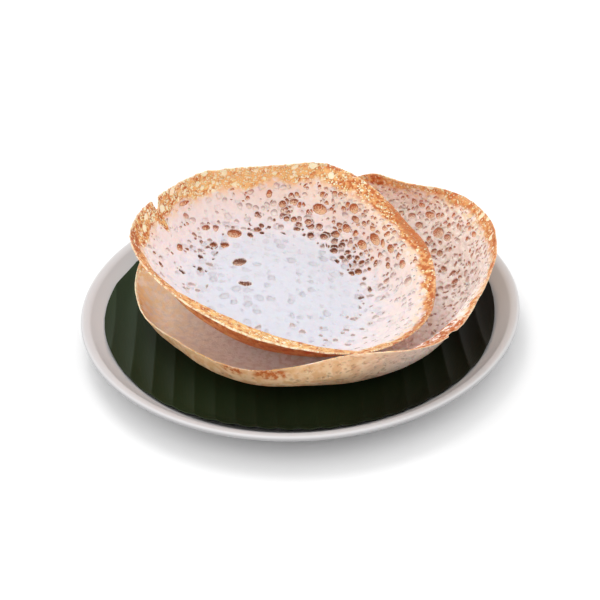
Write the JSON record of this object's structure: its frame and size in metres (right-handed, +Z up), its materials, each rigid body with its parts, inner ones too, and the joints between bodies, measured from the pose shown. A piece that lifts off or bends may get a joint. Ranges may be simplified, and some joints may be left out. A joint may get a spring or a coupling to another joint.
{
  "type": "plate of appam",
  "caption": "Bowl-shaped rice pancakes with soft white middles and lacy browned rims, nested on a round of banana leaf in a shallow pale plate.",
  "frame": {"origin": "on the table, under the middle of the plate", "axes": "+Z up, the shortest side; the near side of the plate, as served, faces -Y; +X is its right side"},
  "size_m": [0.27, 0.27, 0.0812],
  "materials": {
    "plate_glaze": "smooth pale grey-white glaze",
    "banana_leaf": "waxy dark green leaf with parallel ribs",
    "lower_appam": "soft pinkish white batter, tan underside, browned lacy rim",
    "upper_appam": "soft white batter with browned bubble holes and a golden lacy rim"
  },
  "bodies": {
    "root": {"plate": "plate_glaze", "banana_leaf": "banana_leaf", "lower_appam": "lower_appam", "upper_appam": "upper_appam"}
  },
  "joints": []
}
